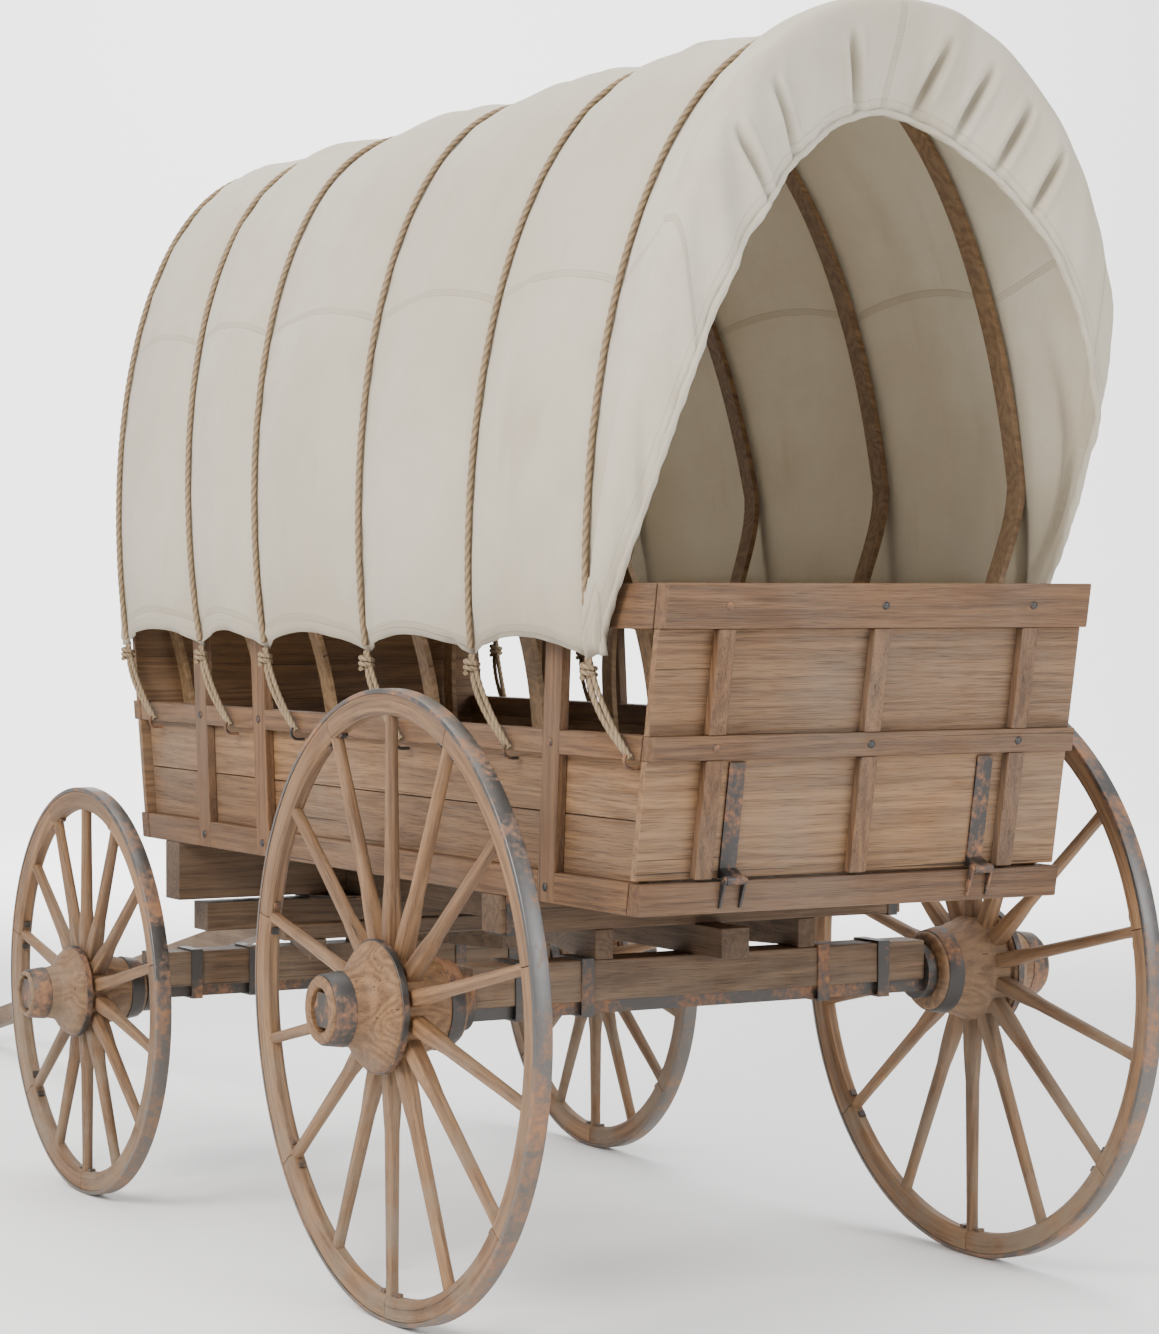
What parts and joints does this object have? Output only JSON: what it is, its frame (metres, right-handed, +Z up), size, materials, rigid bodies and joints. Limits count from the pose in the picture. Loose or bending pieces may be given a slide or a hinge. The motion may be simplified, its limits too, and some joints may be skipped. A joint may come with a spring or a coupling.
{
  "type": "covered wagon",
  "caption": "Four-wheeled wooden wagon with a canvas cover on bent bows, a drop tailgate, a steering front axle and a draught pole.",
  "frame": {"origin": "on the ground under the middle of the whole object's box, with the pole lying on the ground ahead of the wagon", "axes": "+X forward along the wagon, +Y to the wagon's left, +Z up"},
  "size_m": [5.631, 1.818, 2.69],
  "materials": {
    "board_wood": "weathered sawn oak boards",
    "frame_wood": "planed oak rails and stakes, oiled and worn",
    "bow_wood": "steam-bent ash slats",
    "gear_wood": "hewn oak running gear, darkened by grease and road dirt",
    "wheel_wood": "turned and shaved hickory and elm, oiled",
    "canvas": "unbleached cotton duck, plain weave",
    "rope": "laid hemp cord",
    "forged_iron": "black forged iron with some rust",
    "tyre_iron": "iron tyre, worn bright on the tread"
  },
  "bodies": {
    "root": {"floor_boards": "board_wood", "cross_sills": "frame_wood", "side_sills": "frame_wood", "rear_sill": "frame_wood", "left_side_boards": "board_wood", "right_side_boards": "board_wood", "mid_rails": "frame_wood", "top_rails": "frame_wood", "side_stakes": "frame_wood", "front_gate_frame": "frame_wood", "front_gate_boards": "board_wood", "cover_bows": "bow_wood", "canvas_cover": "canvas", "hinge_pins": "forged_iron", "reach": "gear_wood", "rear_axle_bed": "gear_wood", "rear_axle_iron": "forged_iron", "rear_bolster": "gear_wood", "rear_hounds": "gear_wood", "front_bolster": "gear_wood", "king_bolt": "forged_iron"},
    "front_gear": {"front_axle_bed": "gear_wood", "front_axle_iron": "forged_iron", "front_hounds": "gear_wood", "sand_bolster": "gear_wood", "sway_bar": "gear_wood", "pole_pin": "forged_iron"},
    "pole": {"pole": "gear_wood"},
    "tailgate": {"tailgate_frame": "frame_wood", "tailgate_boards": "board_wood", "tailgate_hinges": "forged_iron"},
    "rear_left_wheel": {"rear_left_hub": "wheel_wood", "rear_left_spokes": "wheel_wood", "rear_left_felloes": "wheel_wood", "rear_left_tyre": "tyre_iron"},
    "rear_right_wheel": {"rear_right_hub": "wheel_wood", "rear_right_spokes": "wheel_wood", "rear_right_felloes": "wheel_wood", "rear_right_tyre": "tyre_iron"},
    "front_left_wheel": {"front_left_hub": "wheel_wood", "front_left_spokes": "wheel_wood", "front_left_felloes": "wheel_wood", "front_left_tyre": "tyre_iron"},
    "front_right_wheel": {"front_right_hub": "wheel_wood", "front_right_spokes": "wheel_wood", "front_right_felloes": "wheel_wood", "front_right_tyre": "tyre_iron"}
  },
  "joints": [
    {"name": "steering", "type": "hinge", "parent": "root", "child": "front_gear", "pos_m": [-0.25602, 0, 0.735], "axis": [0, 0, 1], "range_deg": [-22, 22]},
    {"name": "pole_lift", "type": "hinge", "parent": "front_gear", "child": "pole", "pos_m": [0.17398, 0, 0.627], "axis": [0, -1, 0], "range_deg": [0, 45]},
    {"name": "tailgate_drop", "type": "hinge", "parent": "root", "child": "tailgate", "pos_m": [-2.64532, 0, 0.9495], "axis": [0, -1, 0], "range_deg": [0, 160]},
    {"name": "rear_left_wheel_spin", "type": "hinge", "parent": "root", "child": "rear_left_wheel", "pos_m": [-2.01002, 0, 0.66], "axis": [0, 1, 0], "continuous": true},
    {"name": "rear_right_wheel_spin", "type": "hinge", "parent": "root", "child": "rear_right_wheel", "pos_m": [-2.01002, 0, 0.66], "axis": [0, 1, 0], "continuous": true},
    {"name": "front_left_wheel_spin", "type": "hinge", "parent": "front_gear", "child": "front_left_wheel", "pos_m": [-0.25602, 0, 0.514], "axis": [0, 1, 0], "continuous": true},
    {"name": "front_right_wheel_spin", "type": "hinge", "parent": "front_gear", "child": "front_right_wheel", "pos_m": [-0.25602, 0, 0.514], "axis": [0, 1, 0], "continuous": true}
  ]
}
